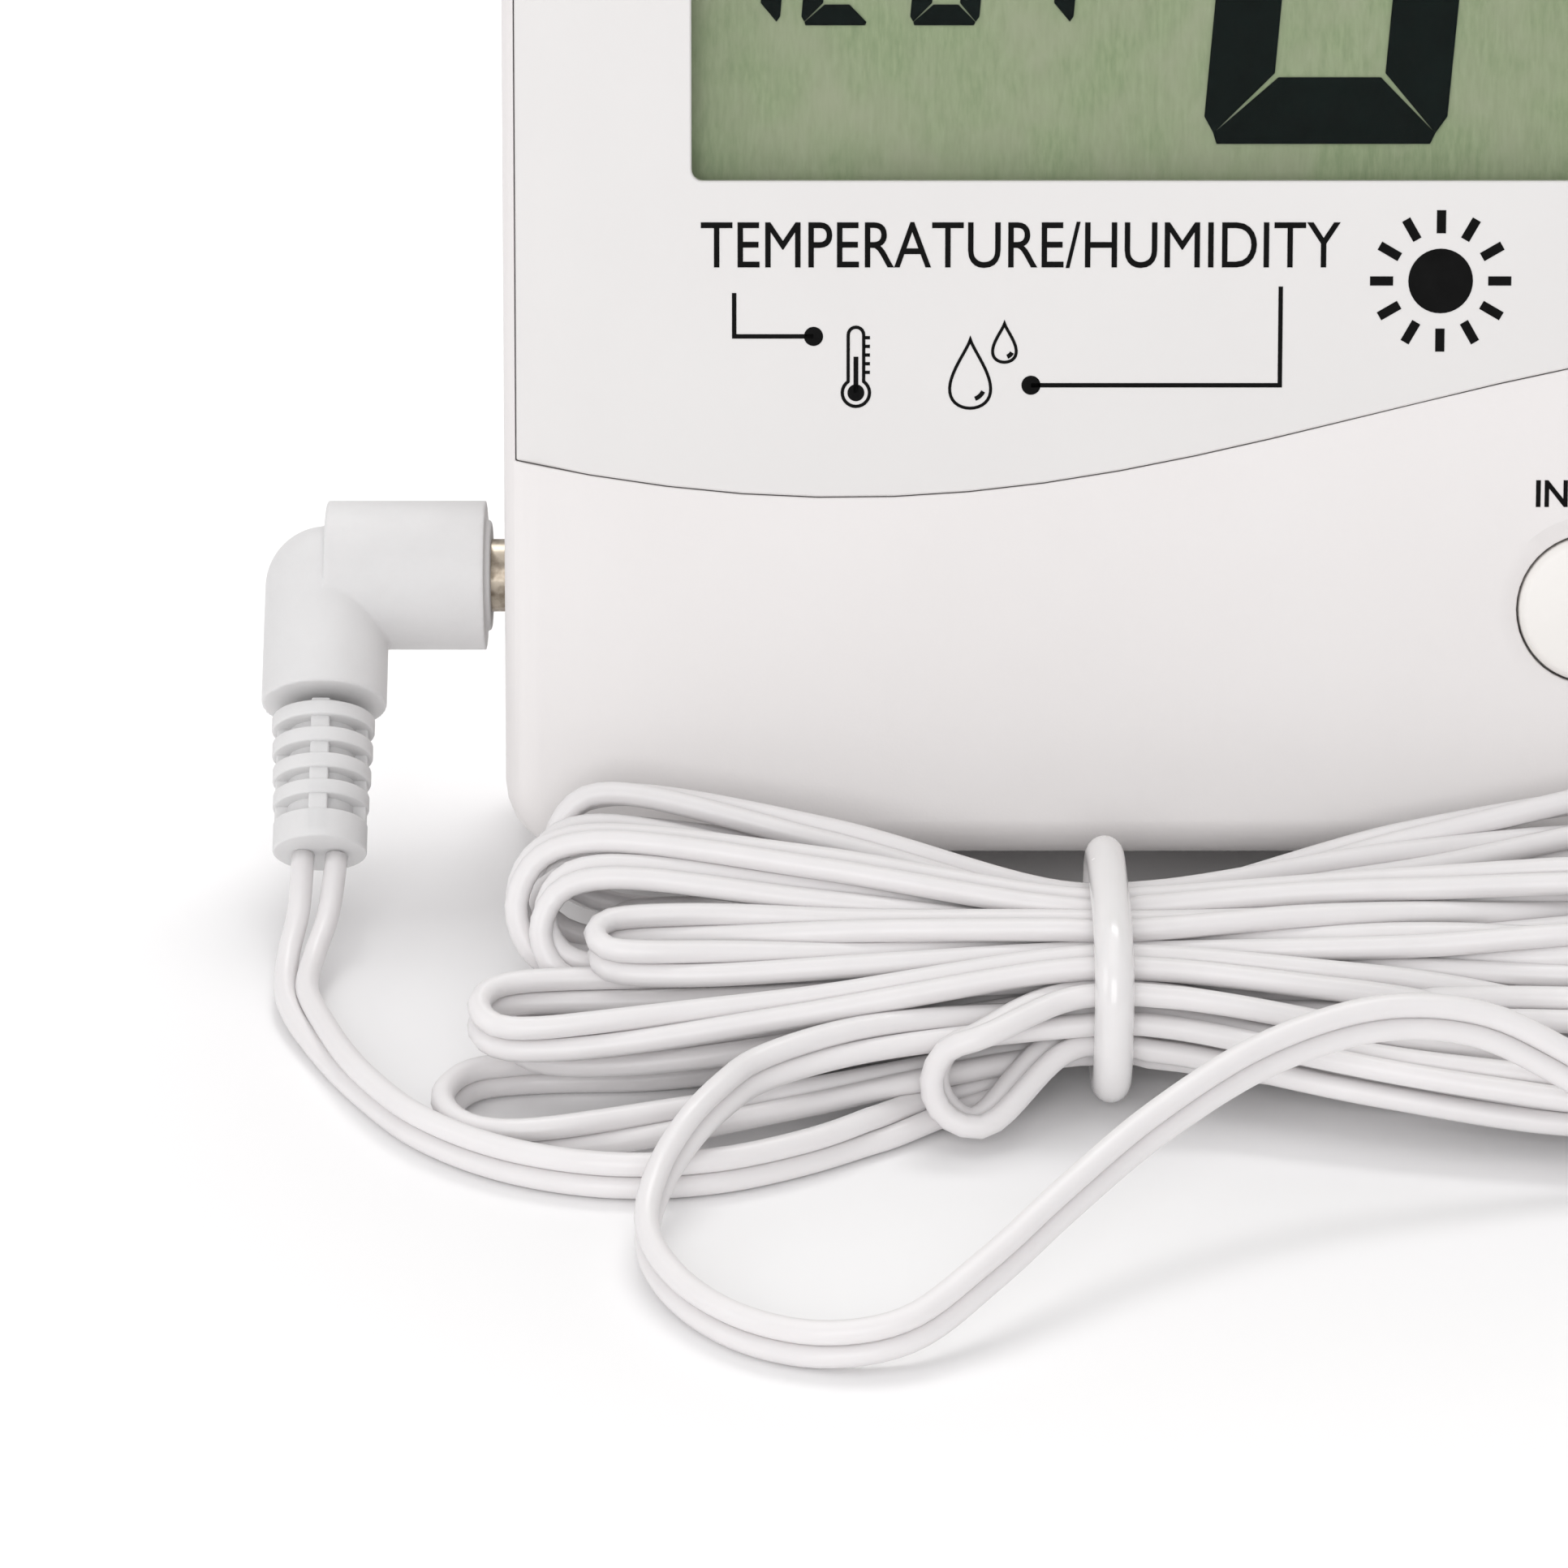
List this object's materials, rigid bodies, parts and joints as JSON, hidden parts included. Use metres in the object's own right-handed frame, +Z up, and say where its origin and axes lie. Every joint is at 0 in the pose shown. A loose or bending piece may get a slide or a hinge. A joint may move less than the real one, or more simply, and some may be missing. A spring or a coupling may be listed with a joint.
{
  "type": "maximum minimum thermometer",
  "caption": "Digital maximum and minimum thermometer and hygrometer that leans on a fold-out stand, with push buttons and a wired probe on a tied twin lead",
  "frame": {"origin": "on the surface it stands on, below the centre of the case and its leg", "axes": "+Z up; +Y from the face to the back; +X to the right as the face is read"},
  "size_m": [0.1139, 0.0981, 0.1085],
  "materials": {
    "case_white": "satin moulded plastic",
    "plate_white": "smooth moulded plastic",
    "button_cream": "smooth moulded plastic",
    "lens_clear": "polished",
    "lcd_glass": "polished",
    "reflector": "brushed film",
    "frame_grey": "moulded plastic",
    "zebra_rubber": "layered silicone",
    "board_green": "solder mask",
    "epoxy_black": "glossy resin",
    "part_black": "moulded plastic",
    "part_tan": "ceramic",
    "sensor_white": "moulded plastic",
    "bead_orange": "dipped resin",
    "steel": "nickel plated",
    "brass": "plated",
    "cell_wrap": "printed sleeve",
    "wire_red": "insulation",
    "plug_white": "soft moulded plastic",
    "lead_white": "soft plastic insulation",
    "tie_white": "glossy plastic"
  },
  "bodies": {
    "case": {"front_shell": "case_white", "face_plate": "plate_white", "lcd_window": "lens_clear", "lcd_front_glass": "lcd_glass", "lcd_rear_glass": "lcd_glass", "lcd_reflector": "reflector", "lcd_frame": "frame_grey", "zebra_strip": "zebra_rubber", "main_pcb": "board_green", "pcb_screws": "steel", "chip_blob": "epoxy_black", "clock_crystal": "steel", "chip_components": "part_tan", "humidity_sensor": "sensor_white", "room_thermistor": "bead_orange", "switch_housings": "part_black", "jack_housing": "part_black", "jack_bush": "steel", "jack_contacts": "brass", "rear_cover": "case_white", "case_screws": "steel", "aaa_cell": "cell_wrap", "battery_spring": "steel", "positive_contact": "brass", "negative_contact": "brass", "battery_wires": "wire_red"},
    "in_out_key": {"button_in_out": "button_cream", "plunger_in_out": "part_black"},
    "max_min_key": {"button_max_min": "button_cream", "plunger_max_min": "part_black"},
    "reset_key": {"button_reset": "button_cream", "plunger_reset": "part_black"},
    "leg": {"stand_leg": "case_white"},
    "door": {"battery_door": "case_white"},
    "lead": {"plug_body": "plug_white", "plug_collar": "brass", "plug_sleeve": "steel", "plug_insulator": "part_black", "plug_tip": "steel", "strain_relief": "plug_white", "lead_from_plug": "lead_white", "lead_hank": "lead_white", "hank_tie": "tie_white", "lead_to_probe": "lead_white", "probe_relief": "plug_white", "probe_body": "plug_white", "probe_tip": "steel", "probe_thermistor": "bead_orange"}
  },
  "joints": [
    {"name": "in_out_press", "type": "slide", "parent": "case", "child": "in_out_key", "axis": [0, 0.9511, -0.309], "range_m": [0, 0.0006], "stiffness_N_per_m": 800, "springref_m": -0.0005},
    {"name": "max_min_press", "type": "slide", "parent": "case", "child": "max_min_key", "axis": [0, 0.9511, -0.309], "range_m": [0, 0.0006], "stiffness_N_per_m": 800, "springref_m": -0.0005},
    {"name": "reset_press", "type": "slide", "parent": "case", "child": "reset_key", "axis": [0, 0.9511, -0.309], "range_m": [0, 0.0006], "stiffness_N_per_m": 800, "springref_m": -0.0005},
    {"name": "stand_fold", "type": "hinge", "parent": "case", "child": "leg", "pos_m": [0, 0.00761, 0.04756], "axis": [1, 0, 0], "range_deg": [-32, 0]},
    {"name": "battery_door_swing", "type": "hinge", "parent": "case", "child": "door", "pos_m": [0, 0.01183, 0.05796], "axis": [-1, 0, 0], "range_deg": [0, 75]},
    {"name": "plug_pull", "type": "slide", "parent": "case", "child": "lead", "axis": [-1, 0, 0], "range_m": [0, 0.012]}
  ]
}
